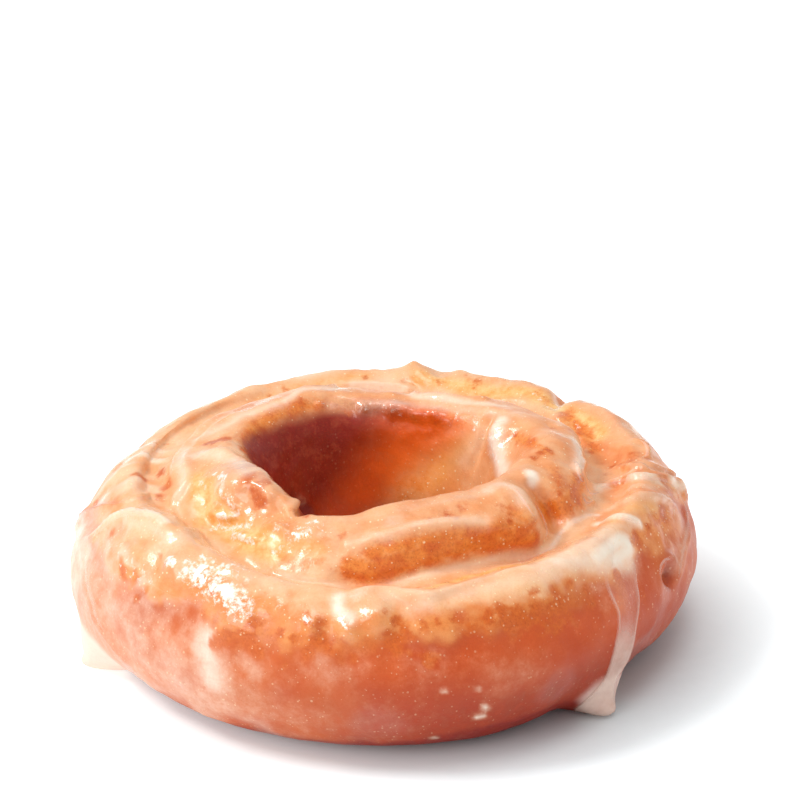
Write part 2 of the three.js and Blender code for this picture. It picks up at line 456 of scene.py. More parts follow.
# %% Move the points
FOOT_SPREAD = 0.9  # mm that the set glaze spreads past the solid's two tongues
LEFT_FOOT_AT = 197  # azimuths
RIGHT_FOOT_AT = 318
CREST_FROM = 31.0  # height above which the relief is pressed together
CREST_ROOM = 1.2  # mm that even the highest fold stays within, above that

foot = ease(height, 9, 2.5) * ease(radius, 41, 43.5)
left_foot = near_azimuth(LEFT_FOOT_AT, 12) * foot
right_foot = near_azimuth(RIGHT_FOOT_AT, 11) * foot
moved = at + facing * relief[:, None]
moved[:, :2] += outwards * (FOOT_SPREAD * np.maximum(left_foot, right_foot))[:, None]
over = np.maximum(moved[:, 2] - CREST_FROM, 0)
moved[:, 2] += CREST_ROOM * (1 - np.exp(-over / CREST_ROOM)) - over
moved[:, 2] = np.maximum(moved[:, 2], 0)
dough_mesh.vertices.foreach_set("co", (moved * MM).ravel())
dough_mesh.update()
dough_mesh.polygons.foreach_set("use_smooth", [True] * len(dough_mesh.polygons))
dough = bpy.data.objects.new("dough", dough_mesh)
bpy.context.scene.collection.objects.link(dough)
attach(dough, "root")
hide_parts("doughnut")
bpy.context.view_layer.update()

# %% [markdown]
# ## Where the colours go
#
# The colours of a fried doughnut tell its story. The belly hung in the oil longest and is
# terracotta. The top split open late and stayed pale gold. Thin edges browned in spots. Glaze
# then ran into the groove and dried milky where it is thick. The hole, the pit and the lowest rim
# are dark red, partly their own colour and partly painted shade, with painted light where the
# light falls in the hole. White flecks at the glints are painted highlights. Each of these is
# stored on the points as a number from 0 to 1, and the material turns the numbers to colours.

# %% How far the oil baked it
ragged = 2.0 * broad + 2.2 * lumpy + 1.0 * small
golden = ease(height + ragged, 26.4, 22.4) * ease(radius, 38, 42.5)
bake = ease(height + ragged - 2.0 * near_azimuth(308, 45), 23.4, 16.8) * ease(radius, 38, 43)
bake = np.maximum(bake, ease(height, 3.0, 0.4))
warm = 0.65 * ease(radius, 32, 29) + 0.85 * near_azimuth(0, 80) * on_ring
warm = warm * (1 - 0.7 * near_azimuth(180, 50))
print("baked", bake.mean().round(2), "warm", warm.mean().round(2))

# %% Deep red in the hole, under the belly and in the pit: partly their own colour, partly painted shade
PIT = (669, 574)

# The hole is painted dark red on its shaded left and back and orange on its lit right wall: painted shade
# and painted light.
hole_edge = 46 + 3.2 * np.clip(27 - height, 0, 20)  # the azimuth where the deep red begins
past_edge = (azimuth + 20) % 360 - 20 - hole_edge
deep_red_and_shade = in_hole * ease(height + 1.6 * broad + 1.2 * lumpy, 29.8, 27.4)
deep_red_and_shade *= ease(past_edge, -18, 18) * ease(azimuth, 285, 262)
# Darker red along the bottom rim: partly the crust's own colour, partly painted shade under the belly.
front_right = near_azimuth(292, 44)
deep_red_and_shade = np.maximum(deep_red_and_shade, ease(height + 0.8 * broad - 3.0 * front_right, 4.0, 1.0))
# The front right side, turned away from the light, is painted darker: painted shade.
shade_side = near_azimuth(298, 70) * bake
deep_red_and_shade = np.maximum(deep_red_and_shade, 0.74 * shade_side)
# The pit is painted dark red, partly painted shade in the hollow.
deep_red_and_shade = np.maximum(deep_red_and_shade, 0.9 * blot(PIT, 2.6))
print("deep_red_and_shade", deep_red_and_shade.mean().round(2))

# %% Ember: orange on the belly, and painted light where the light falls on the hole's right wall
lit_hole_wall = in_hole * ease(past_edge + 12 * broad, 66, 16)
belly_ember = 0.55 * bake * ease(height, 8, 18)
ember_and_lit_wall = np.maximum(lit_hole_wall, belly_ember)
ember_and_lit_wall *= 1 - blot(PIT, 3.0)

# Painted light: the hole's slope gives off a faint orange light of its own, so that it looks lit
SLOPE_FOOT = (420, 476)
SLOPE_MIDDLE = (454, 462)
painted_slope_light = np.minimum(0.9 * blot(SLOPE_FOOT, 4.5) + 0.5 * blot(SLOPE_MIDDLE, 4.5), 1)
print("ember_and_lit_wall", ember_and_lit_wall.mean().round(2), "painted_slope_light", painted_slope_light.mean().round(3))

# %% Amber and honey, where clear glaze lies on thin crust
# name: (amount, width, pixels)
AMBER = {
    "log_wall": (1.0, 2.4, [(352, 566), (374, 572), (400, 562), (450, 548), (500, 540), (532, 541)]),
    "log_wall_upper": (0.9, 1.8, [(372, 552), (410, 545), (450, 538), (490, 532), (520, 530)]),
    "log_tip": (0.7, 2.0, [(516, 512), (530, 526), (536, 542)]),
    "log_foot_left": (0.5, 1.6, [(284, 560), (304, 566), (324, 562)]),
    "collar_right_wall": (1.0, 2.4, [(548, 508), (562, 506), (574, 496), (579, 484)]),
    "collar_right": (0.6, 2.2, [(552, 470), (560, 488), (548, 494)]),
    # painted light: orange where the light falls on the hole's right wall
    "right_slope": (0.5, 3.0, [(400, 488), (416, 480)]),
    "back_wall": (0.8, 1.7, [(296, 406), (330, 404), (364, 406), (400, 411), (440, 417), (470, 422)]),
    "hole_left_edge": (0.9, 2.0, [(246, 452), (250, 438), (262, 424), (280, 412), (296, 406)]),
    "front_shoulder": (0.6, 2.4, [(430, 624), (470, 622), (510, 618), (550, 608), (590, 598)]),
    "front_left_shoulder": (
        0.5, 2.0,
        [(206, 612), (240, 626), (280, 636), (318, 640), (350, 650), (394, 640)],
    ),
    "back_groove": (0.8, 1.8, [(568, 418), (578, 426), (588, 440), (594, 452)]),
    "ring_right_orange": (0.6, 2.0, [(634, 540), (642, 532), (652, 526), (664, 518), (672, 506)]),
    "under_ribbon": (0.75, 2.0, [(616, 580), (622, 592), (620, 606)]),
    "collar_cracks": (0.8, 1.3, [(516, 436), (536, 446), (548, 452)]),
}
HONEY = {
    "knob_front": (1.0, 3.0, [(204, 490), (212, 508), (230, 524), (250, 538), (274, 548)]),
    "knob_side": (0.8, 2.2, [(196, 478), (200, 500), (206, 520)]),
    "groove_left": (0.5, 1.6, [(190, 530), (215, 538), (246, 548)]),
    "log_left": (0.6, 2.2, [(282, 552), (300, 544), (318, 552)]),
    "back_groove": (1.0, 2.4, [(536, 396), (548, 402), (562, 414), (580, 422), (600, 436)]),
    "ring_back": (0.8, 2.0, [(420, 380), (444, 382), (470, 388), (500, 392), (530, 392)]),
    "ring_back_left": (0.5, 2.0, [(262, 400), (290, 392), (330, 382), (364, 378)]),
    "groove_front": (
        0.8, 0.9,
        [(407, 589), (431, 586), (455, 580), (473, 574), (501, 567), (529, 562), (547, 559)],
    ),
    "ring_right_top": (0.5, 2.4, [(606, 530), (624, 512), (640, 506), (654, 508)]),
    "front_top": (0.5, 2.0, [(440, 606), (470, 598), (505, 588), (535, 584)]),
    # painted light: the hole's lit slope painted brighter and more orange
    "right_slope": (0.5, 3.4, [(400, 490), (424, 476), (444, 464), (464, 448), (478, 430)]),
}


def lay(strokes, power):
    """The largest of several strokes at every point. A higher power gives them firmer edges."""
    amount = np.zeros(len(at))
    for most, width, pixels in strokes.values():
        amount = np.maximum(amount, most * stroke(pixels, width, power=power))
    return amount


amber = lay(AMBER, 2)
honey = lay(HONEY, 2)
print("amber", amber.mean().round(3), "honey", honey.mean().round(3))

# %% [markdown]
# ## Spots, runs and painted highlights
#
# Thin edges of dough brown first, in spots that crowd together along a rim, so each spot is a
# small round blot at its own pixel. Milky glaze lies in long runs instead, so it is drawn with
# strokes, and broad veils of it are worked out from azimuth and height; at the lit left side the
# veils are partly painted sheen. Noise breaks them all up.

# %% Brown spots
# name: (amount, size, pixels)
BROWN = {
    "front_right": (1.0, 1.9, [(489, 616), (500, 612), (504, 622), (513, 614), (524, 618), (534, 612)]),
    "front_right_rim": (0.7, 2.2, [(473, 612), (455, 618), (492, 630), (470, 628), (545, 626)]),
    "front_middle": (1.0, 1.5, [(396, 648), (399, 638), (404, 628), (396, 622), (390, 634)]),
    "front_middle_edge": (0.7, 1.6, [(422, 626), (412, 634), (436, 622), (384, 644)]),
    "front_left": (1.0, 1.5, [(320, 622), (322, 634), (316, 642), (308, 652), (329, 646)]),
    "front_left_edge": (0.7, 1.7, [(306, 660), (342, 660), (336, 652), (292, 640), (282, 632)]),
    "left_shoulder": (
        0.65, 1.6,
        [(262, 614), (254, 618), (216, 624), (222, 634), (236, 644), (206, 616), (192, 612)],
    ),
    "left_shoulder_low": (
        0.55, 1.9,
        [(148, 634), (153, 644), (175, 622), (174, 630), (188, 652), (160, 606), (250, 650)],
    ),
    "left_crown": (0.5, 1.8, [(160, 556), (166, 566), (112, 556), (188, 586), (128, 541)]),
    "right_shoulder": (
        0.8, 1.6,
        [(555, 590), (560, 600), (568, 584), (586, 590), (592, 602), (550, 606), (574, 612)],
    ),
    "right_ring": (1.0, 1.4, [(636, 536), (640, 544), (648, 526), (664, 517), (671, 503), (677, 508)]),
    "right_ring_back": (
        0.8, 1.0,
        [(641, 471), (612, 467), (606, 474), (653, 456), (630, 453), (598, 482)],
    ),
    "ring_left": (0.8, 1.8, [(163, 475), (166, 488), (161, 498), (140, 480)]),
    "knob": (0.9, 1.8, [(248, 470), (258, 494), (266, 486), (262, 502), (252, 480)]),
    "flap": (0.8, 1.2, [(299, 507), (306, 514), (292, 512)]),
    "collar_left": (0.9, 1.3, [(208, 444), (216, 442), (224, 440)]),
    "log_top": (
        0.7, 1.7,
        [(448, 514), (462, 508), (456, 518), (500, 510), (340, 526), (430, 521), (344, 534)],
    ),
    "log_crack": (0.8, 0.7, [(510, 516), (510, 522), (511, 529), (514, 537), (517, 542)]),
    "log_wall": (0.45, 1.6, [(362, 556), (374, 560), (420, 548), (444, 540), (352, 570), (404, 556)]),
    "front_right_low": (0.6, 2.4, [(516, 634), (538, 636), (560, 630)]),
    "collar_right": (
        0.9, 1.0,
        [(515, 434), (517, 441), (548, 450), (540, 452), (534, 456), (553, 428), (560, 494)],
    ),
    "collar_back": (0.7, 1.6, [(300, 398), (310, 402), (338, 405), (350, 412), (416, 420), (450, 424)]),
    "ring_back": (
        0.55, 1.5,
        [(364, 379), (286, 392), (270, 396), (404, 384), (440, 382), (538, 392), (546, 398),
         (592, 402)],
    ),
    "right_side": (0.9, 1.3, [(668, 574), (671, 580), (686, 568), (688, 556), (694, 520)]),
}
brown = np.zeros(len(at))
for most, size, pixels in BROWN.values():
    for pixel in pixels:
        brown = np.maximum(brown, most * blot(pixel, size))
print(len(BROWN), "groups of brown spots")

# %% Speckles between the spots, and in the wrinkles
hidden_side = near_azimuth(90, 95) * on_ring
speckled = ease(swell(5.5, 2.2) + 0.6 * swell(2.4, 4.4), 0.15, 0.6)
shoulder_band = ease(height, 25.5, 23) * ease(height, 13, 18) * on_ring
brown = np.maximum(brown, speckled * (0.15 + 0.6 * shoulder_band + 0.35 * hidden_side * top))
brown = np.maximum(brown, 0.8 * ease(-wrinkles, 0.1, 0.45) * wrinkled)
print("browned share", (brown > 0.5).mean().round(3))

# %% Milky glaze
# name: (amount, width, pixels)
MILK = {
    "groove": (
        0.5, 1.0,
        [(280, 574), (300, 579), (325, 584), (353, 588), (381, 585), (436, 572), (473, 564),
         (510, 555), (538, 552), (553, 543)],
    ),
    "groove_right": (
        0.65, 0.8,
        [(549, 549), (558, 538), (562, 531), (574, 522), (586, 516), (597, 514)],
    ),
    # the pale line along the ring's ridge: milky glaze and partly a painted highlight band
    "ring_ridge": (
        0.5, 1.2,
        [(331, 600), (349, 598), (366, 592), (388, 590), (407, 593), (431, 596), (447, 591),
         (473, 582), (520, 569), (560, 569)],
    ),
    "ring_ridge_drop": (0.8, 1.5, [(340, 598), (338, 610), (350, 618)]),
    # a painted sheen along the front of the ring, partly milky glaze
    "ring_front_wash": (0.5, 2.8, [(420, 603), (447, 598), (480, 590), (520, 580), (560, 576)]),
    "pool": (0.9, 2.2, [(596, 558), (608, 549), (620, 541), (628, 548), (614, 560)]),
    "pool_wash": (0.62, 4.2, [(544, 566), (568, 556), (590, 546), (610, 536)]),
    "pool_tail": (0.7, 3.0, [(556, 562), (576, 560), (600, 562), (628, 562)]),
    "log_roll": (
        0.55, 1.6,
        [(351, 543), (370, 537), (390, 536), (410, 528), (433, 524), (462, 522), (483, 522)],
    ),
    "log_top": (0.4, 1.6, [(312, 522), (345, 519), (380, 515), (430, 506), (485, 496)]),
    "log_tip": (0.6, 1.8, [(488, 494), (500, 490), (512, 496), (520, 506)]),
    "bead": (1.0, 1.4, [(530, 475), (532, 480)]),
    "right_slope_film": (0.8, 2.3, [(500, 422), (498, 440), (501, 458), (505, 476)]),
    "right_slope_wash": (0.45, 2.4, [(462, 462), (474, 446), (482, 430)]),
    "right_collar_film": (0.4, 2.2, [(500, 408), (524, 404), (546, 414), (562, 428)]),
    "right_collar_side": (0.7, 1.8, [(574, 444), (580, 456), (578, 470)]),
    "back_rim": (
        0.7, 1.2,
        [(284, 402), (301, 392), (325, 389), (362, 387), (398, 390), (422, 397), (471, 403),
         (505, 405)],
    ),
    "collar_left_top": (0.6, 2.2, [(200, 440), (224, 426), (250, 412), (276, 404)]),
    "collar_left_folds": (0.6, 2.0, [(196, 456), (215, 455), (236, 462), (248, 474)]),
    "collar_left_rim": (0.4, 0.9, [(244, 460), (256, 474), (266, 490), (284, 503), (300, 500)]),
    "groove_left_pool": (0.6, 1.8, [(186, 450), (182, 466), (184, 482), (178, 494)]),
    "left_fold": (
        0.7, 1.1,
        [(80, 548), (90, 538), (106, 526), (120, 517), (134, 515), (153, 519), (168, 527)],
    ),
    "left_fold_under": (0.5, 2.0, [(110, 532), (130, 524), (150, 528), (170, 540)]),
    # painted sheen where the light grazes the left shoulder
    "left_sheen": (0.6, 2.6, [(124, 552), (132, 568), (148, 584)]),
    "streak": (0.72, 4.4, [(208, 638), (206, 652), (209, 664), (213, 678)]),
    "streak_small": (0.45, 2.4, [(240, 656), (248, 662), (254, 672)]),
    "bloom_a": (0.25, 4.0, [(500, 674), (514, 678), (528, 670)]),
    "bloom_b": (0.25, 3.0, [(418, 660), (430, 668), (436, 660)]),
    "bloom_c": (0.35, 3.2, [(312, 662), (330, 672), (350, 668)]),
    "fleck_a": (0.7, 0.7, [(485, 708), (487, 710)]),
    "fleck_b": (0.7, 0.7, [(478, 719), (484, 718)]),
    "fleck_c": (0.7, 0.5, [(443, 691), (446, 691)]),
    "fleck_d": (0.7, 0.5, [(478, 690), (481, 690)]),
    "fleck_e": (0.6, 0.6, [(432, 738), (437, 739)]),
    "right_folds": (0.7, 1.1, [(597, 489), (619, 482), (641, 479), (663, 481), (677, 490)]),
    "right_folds_low": (0.5, 1.2, [(608, 508), (621, 503), (641, 498), (663, 501)]),
    "right_folds_top": (0.65, 1.4, [(632, 474), (650, 479), (670, 487)]),
    "right_pale_fold": (0.8, 1.1, [(596, 522), (616, 518), (631, 521), (640, 525)]),
    "right_ring_wash": (0.5, 2.0, [(600, 534), (616, 526), (632, 528)]),
    "right_shoulder_wash": (0.3, 2.0, [(556, 578), (576, 582), (600, 590), (606, 604)]),
    "right_side_veil": (0.4, 2.4, [(684, 530), (682, 548), (676, 566)]),
    "back_right_top": (0.35, 1.8, [(580, 402), (604, 416), (628, 436), (650, 456)]),
    "ring_back_top": (0.5, 1.6, [(300, 378), (350, 370), (414, 366), (470, 370), (520, 378)]),
}
milk = lay(MILK, 2)
print(len(MILK), "runs of milky glaze")

# %% Veils of milk at the left and over the belly, partly painted sheen on the lit left side
left_veil_and_sheen = ease(azimuth + 8 * broad, 246, 204) * ease(azimuth, 120, 165) * ease(radius, 38, 44)
wandering = azimuth + 10 * broad + 8 * lumpy
edge_veil_and_sheen = ease(wandering, 212, 190) * ease(wandering, 126, 180) * ease(radius, 43, 46.5)
milk = np.maximum(milk, np.maximum(0.5 * left_veil_and_sheen, 0.7 * edge_veil_and_sheen))
haze = ease(swell(9, 12.5) + 0.4 * swell(3.2, 14.5), -1.0, 0.7) * bake * (1 - deep_red_and_shade)
milk = np.maximum(milk, haze * (0.03 + 0.22 * near_azimuth(242, 74)))
left_belly_veil_and_sheen = near_azimuth(222, 72) * ease(bake, 0, 0.45) * ease(height + 2 * lumpy, 1, 5)
left_belly_veil_and_sheen *= 1 - 0.8 * near_azimuth(264, 34) * ease(height + 2 * lumpy, 9, 15)
milk = np.maximum(milk, left_belly_veil_and_sheen * (0.47 + 0.14 * broad + 0.12 * lumpy))
milk *= 1 - 0.65 * ease(brown, 0.3, 0.8) * on_ring
print("milky share so far", (milk > 0.5).mean().round(3))

# %% Milk on the wrinkles, and a thin film
on_wrinkles = ease(wrinkles, 0.08, 0.4) * wrinkled
milk = np.maximum(milk, 0.7 * on_wrinkles * (1 - 0.4 * near_azimuth(RIGHT_WRINKLES_AT, 60)))
film = ease(swell(10, 6.6) + 0.5 * swell(3.8, 8.1), -0.3, 0.7)
film *= (1 - deep_red_and_shade) * (1 - 0.75 * bake) * (1 - honey) * (1 - amber) * (1 - in_hole)
film *= (1 - 0.7 * near_azimuth(10, 90)) * (1 - 0.8 * ease(brown, 0.3, 0.7))
milk = np.maximum(milk, 0.45 * film)
print("milky share", (milk > 0.5).mean().round(3))

# %% Painted highlights: white flecks at the glints, cracked like dried glaze
# name: (amount, width, pixels)
PAINTED_HIGHLIGHTS = {
    "left_shoulder": (0.62, 2.6, [(192, 570), (208, 580), (224, 591), (244, 609)]),
    "left_shoulder_top": (0.5, 2.0, [(200, 562), (216, 567), (232, 574)]),
    "left_boss": (0.7, 1.1, [(170, 561), (174, 564)]),
    "left_sheen": (0.34, 1.8, [(122, 550), (134, 566), (150, 584)]),
    "knob_top": (0.6, 0.9, [(216, 474), (224, 478), (230, 482)]),
    "knob_side": (0.6, 0.6, [(201, 480), (204, 488)]),
    "knob_middle": (0.6, 0.8, [(224, 494), (232, 502), (238, 510)]),
    "knob_wedge": (0.7, 0.7, [(222, 519), (232, 518), (242, 514)]),
    "knob_foot": (0.6, 0.9, [(214, 528), (232, 528), (250, 526)]),
    "knob_wedge_low": (0.7, 0.7, [(234, 536), (244, 539), (254, 543)]),
    "gap": (0.6, 0.9, [(272, 534), (279, 526), (284, 523)]),
    "gap_low": (0.5, 0.7, [(272, 552), (282, 546)]),
    "log_left": (0.5, 1.8, [(294, 536), (304, 532), (314, 526)]),
    "front_boss": (0.6, 1.1, [(366, 610), (370, 616)]),
    "front_boss_small": (0.5, 0.9, [(343, 626), (347, 628)]),
    "front_boss_left": (0.6, 0.7, [(309, 622), (312, 624)]),
    "back_wall_left": (0.4, 0.5, [(319, 403), (324, 404)]),
    "back_wall_dot": (0.45, 0.6, [(361, 408), (366, 409)]),
    "back_wall_middle": (0.36, 0.8, [(385, 408), (393, 409), (402, 413)]),
    "back_wall_right": (0.3, 0.7, [(412, 414), (428, 415), (440, 418), (450, 424)]),
    "slope_edge": (0.5, 0.5, [(474, 430), (476, 422), (474, 418)]),
    "slope_pad": (0.42, 1.6, [(494, 432), (496, 448), (501, 462)]),
    "back_honey": (0.4, 0.6, [(534, 394), (540, 400), (554, 410)]),
    "back_honey_low": (0.4, 0.6, [(574, 424), (580, 428)]),
}
painted_highlights = lay(PAINTED_HIGHLIGHTS, 3)
print("painted_highlight share", (painted_highlights > 0.5).mean().round(4))

# %% Store the numbers on the skin
MASKS = {
    "painted_highlights": painted_highlights,
    "warm": warm,
    "golden": golden,
    "bake": bake,
    "deep_red_and_shade": deep_red_and_shade,
    "ember_and_lit_wall": ember_and_lit_wall,
    "amber": amber,
    "honey": honey,
    "brown": brown,
    "milk": milk,
    "left_foot": left_foot,
    "right_foot": right_foot,
    "crinkled": crinkled,
    "painted_slope_light": painted_slope_light,
}
for name, values in MASKS.items():
    layer = dough_mesh.attributes.new(name, "FLOAT", "POINT")
    layer.data.foreach_set("value", np.clip(values, 0, 1).astype(np.float32))
print("stored", [layer.name for layer in dough_mesh.attributes if layer.data_type == "FLOAT"])

# %% [markdown]
# ## Writing materials as arithmetic
#
# A material is a graph of nodes. Built by hand in Python it becomes a wall of links, so a small
# class wraps one output, and plain arithmetic on it adds the Math nodes. Any other node comes
# from one method, which sets the node's options first and then its sockets.

# %% Helpers for materials
class Value:
    """One output of a node. Arithmetic on it adds Math nodes."""

    def __init__(self, finish, socket):
        self.finish = finish
        self.socket = socket

    def _math(self, operation, first, second):
        return self.finish.node("ShaderNodeMath", {"operation": operation}, {0: first, 1: second})

    def other(self, name):
        """Another output of the same node."""
        return Value(self.finish, self.socket.node.outputs[name])

    def __add__(self, other):
        return self._math("ADD", self, other)

    def __sub__(self, other):
        return self._math("SUBTRACT", self, other)

    def __rsub__(self, other):
        return self._math("SUBTRACT", other, self)

    def __mul__(self, other):
        return self._math("MULTIPLY", self, other)

    __radd__ = __add__
    __rmul__ = __mul__


class Finish:
    """A material and the nodes in it."""

    def __init__(self, name):
        self.material = bpy.data.materials.new(name)
        self.material.use_nodes = True
        self.tree = self.material.node_tree
        self.shader = self.tree.nodes["Principled BSDF"]
        self.place = self.node("ShaderNodeTexCoord", output="Object")

    def node(self, kind, settings=None, sockets=None, output=0):
        """Adds a node, sets its options, then its sockets, and wraps one of its outputs."""
        made = self.tree.nodes.new(kind)
        for name, setting in (settings or {}).items():
            setattr(made, name, setting)
        for socket, value in (sockets or {}).items():
            self.connect(made.inputs[socket], value)
        return Value(self, made.outputs[output])

    def connect(self, socket, value):
        """Links a wrapped output to a socket, or sets the socket to a number or colour."""
        if isinstance(value, Value):
            self.tree.links.new(value.socket, socket)
        else:
            socket.default_value = value

    def set(self, **sockets):
        """Sets or links the shader's own sockets. Underscores stand for spaces."""
        for name, value in sockets.items():
            self.connect(self.shader.inputs[name.replace("_", " ")], value)

    def stored(self, name):
        return self.node("ShaderNodeAttribute", {"attribute_name": name}, output="Fac")

    def noise(self, size, detail=3.0, roughness=0.55):
        """Noise with features of a size in mm."""
        sockets = {"Vector": self.place, "Scale": 1 / (size * MM), "Detail": detail, "Roughness": roughness}
        return self.node("ShaderNodeTexNoise", sockets=sockets, output="Fac")

    def specks(self, size):
        """Distance from the nearest of many scattered points a size in mm apart."""
        sockets = {"Vector": self.place, "Scale": 1 / (size * MM)}
        return self.node("ShaderNodeTexVoronoi", {"feature": "F1"}, sockets, output="Distance")

    def ease(self, value, low, high):
        """0 at low, 1 at high, and a smooth S between."""
        sockets = {"Value": value, "From Min": low, "From Max": high}
        return self.node("ShaderNodeMapRange", {"interpolation_type": "SMOOTHSTEP"}, sockets)

    def mix(self, share, first, second):
        """A colour that goes from first to second as share goes from 0 to 1."""
        settings = {"data_type": "RGBA", "clamp_factor": True}
        return self.node("ShaderNodeMix", settings, {0: share, 6: first, 7: second}, output=2)

    def bump(self, height, distance, strength=1.0):
        sockets = {"Height": height, "Distance": distance * MM, "Strength": strength}
        return self.node("ShaderNodeBump", sockets=sockets, output="Normal")


def paint(red, green, blue):
    """A colour given as 0 to 255 on a screen, as the linear numbers that a shader takes."""
    screen = [channel / 255 for channel in (red, green, blue)]
    return (*[c / 12.92 if c < 0.04045 else ((c + 0.055) / 1.055) ** 2.4 for c in screen], 1.0)


# %% [markdown]
# ## Fried crust under glaze
#
# The crust's colours are laid over each other as in the fryer: pale gold dough, terracotta where
# it hung in the oil, orange where clear glaze pools, red-brown in the hole (partly painted shade,
# with painted light where the light falls), brown spots, a milky film, and last the grains of
# sugar and white flecks that are painted highlights. Fine noise breaks each edge, so that no
# border shows the mesh behind it. The crust is slightly rough, and a clear coat lies over it only
# in the glassy places. A little light scatters under the surface, and the hole's slope gives off a
# faint painted light of its own, an emission that brightens it.

# %% Noise that frays every edge
crust = Finish("glazed_crust")
grain = crust.noise(0.9, detail=4)
patch = crust.noise(5.0, detail=4)
wide = crust.noise(14.0, detail=2)
mottle = crust.noise(1.9, detail=5, roughness=0.65)
sand = crust.noise(0.4, detail=2, roughness=0.7)
fray = (patch - 0.5) * 0.4 + (mottle - 0.5) * 1.1 + (sand - 0.5) * 0.2
blotchy = crust.ease(mottle, 0.3, 0.7)
print("noise:", len(crust.tree.nodes), "nodes")

# %% From pale gold to terracotta
pale_dough = crust.mix(crust.ease(patch, 0.35, 0.7), paint(243, 192, 148), paint(236, 166, 112))
warm_dough = crust.mix(crust.ease(patch, 0.35, 0.7), paint(240, 162, 104), paint(226, 130, 66))
golden_dough = crust.mix(crust.ease(patch, 0.3, 0.7), paint(238, 156, 92), paint(224, 124, 56))
terracotta = crust.mix(crust.ease(wide, 0.35, 0.65), paint(210, 102, 46), paint(192, 78, 30))
colour = crust.mix(crust.stored("warm") + fray * 0.6, pale_dough, warm_dough)
gilded = crust.ease(crust.stored("golden") + fray * 0.8, 0.15, 0.85)
colour = crust.mix(gilded, colour, golden_dough)
baked = crust.ease(crust.stored("bake") + fray * 0.8, 0.2, 0.8)
colour = crust.mix(baked, colour, terracotta)
print("baked crust:", len(crust.tree.nodes), "nodes")

# %% Honey, amber, deep red and brown
honeyed = crust.ease(crust.stored("honey") + fray * 0.8, 0.15, 0.95)
colour = crust.mix(honeyed, colour, crust.mix(blotchy, paint(250, 206, 140), paint(236, 160, 78)))
ambered = crust.ease(crust.stored("amber") + fray * 1.0, 0.2, 0.85)
colour = crust.mix(ambered, colour, crust.mix(blotchy, paint(240, 148, 66), paint(218, 106, 34)))
# Dark red for the hole, the bottom rim and the pit, partly painted shade; the orange of the lit hole wall
# is painted light.
dark_red = crust.mix(blotchy, paint(154, 32, 10), paint(132, 20, 6))
shade_and_ember_colour = crust.mix(crust.stored("ember_and_lit_wall") + fray * 0.5, dark_red, paint(234, 94, 18))
colour = crust.mix(crust.stored("deep_red_and_shade") + fray * 0.4 * crust.stored("deep_red_and_shade"), colour, shade_and_ember_colour)
browned = crust.ease(crust.stored("brown") + fray * 1.5, 0.4, 0.95)
colour = crust.mix(browned * 0.94, colour, crust.mix(grain, paint(226, 116, 36), paint(186, 68, 8)))
print("stained crust:", len(crust.tree.nodes), "nodes")

# %% Milky glaze, sugar and painted highlights
milky = crust.ease(crust.stored("milk") + fray * (0.6 - 0.35 * crust.stored("milk")), 0.0, 1.05)
colour = crust.mix(milky * 0.88, colour, crust.mix(milky, paint(242, 186, 142), paint(255, 246, 230)))
colour = crust.mix(crust.ease(crust.stored("left_foot"), 0.02, 0.25), colour, paint(246, 216, 198))
colour = crust.mix(crust.ease(crust.stored("right_foot"), 0.1, 0.5), colour, paint(222, 188, 176))

crystal = crust.specks(0.6)
crystal_size = crystal.other("Color")
sugar = crust.ease(crystal - crystal_size * crystal_size * 0.42, 0.0, -0.08)
sugar = sugar * (1 - 0.9 * crust.stored("deep_red_and_shade")) * crust.ease(mottle, 0.36, 0.5)
colour = crust.mix(sugar * (0.75 - 0.3 * crust.stored("bake")), colour, paint(255, 224, 180))
gritty = crust.ease(sand, 0.55, 0.3) * (1 - milky) * (browned * 0.4 + ambered * 0.3 + 0.1)
colour = crust.mix(gritty, colour, paint(184, 78, 22))
# White flecks where the glints show: painted highlights, cracked like dried glaze
cracks = crust.noise(0.9, detail=4, roughness=0.7)
highlight_flakes = crust.ease(crust.stored("painted_highlights") + (cracks - 0.5) * 2.0, 0.4, 0.8)
colour = crust.mix(highlight_flakes * 0.95, colour, paint(255, 244, 232))
print("crust colours:", len(crust.tree.nodes), "nodes")

# %% Crust surface
shiny = crust.stored("crinkled")
facets = crust.specks(1.5)
pebbles = (grain * 0.3 + sand * 0.2 + sugar * 0.25) * (1 - shiny * 0.6)
shrunk = (crust.noise(0.8, detail=3, roughness=0.6) * 0.5 + facets * 0.3) * shiny
dull = patch * 0.14 + crust.stored("bake") * 0.12 + crust.stored("deep_red_and_shade") * 0.15
crust.set(
    Base_Color=colour,
    Roughness=0.24 + dull - shiny * 0.14,
    IOR=1.46,
    Specular_IOR_Level=0.42,
    Coat_Weight=shiny,
    Coat_Roughness=0.07,
    Coat_IOR=1.5,
    # painted light: the hole's slope glows faintly orange
    Emission_Color=crust.mix(crust.stored("painted_slope_light"), paint(0, 0, 0), paint(255, 160, 70)),
    Emission_Strength=0.2,
    Subsurface_Weight=0.1,
    Subsurface_Radius=(1.0, 0.6, 0.35),
    Subsurface_Scale=1.0 * MM,
    Normal=crust.bump(pebbles + shrunk, distance=0.4, strength=0.5),
)
dough_mesh.materials.clear()
dough_mesh.materials.append(crust.material)
print("crust material:", len(crust.tree.nodes), "nodes")

# %% [markdown]
# ## Glaze that stands proud
#
# Some of the glaze is thick enough to have a shape of its own. One run spilled over the front
# right shoulder and dried as a ribbon, and thin threads of glaze dried along the edges of the
# folds. Each starts as a flat grid that is laid on the dough row by row. Its middle or its edges
# are lifted a few tenths of a millimetre, as surface tension does in the real glaze, and a stored
# thickness makes it more or less see-through.

# %% Helpers for laying glaze
finished_tree = BVHTree.FromObject(dough, bpy.context.evaluated_depsgraph_get())


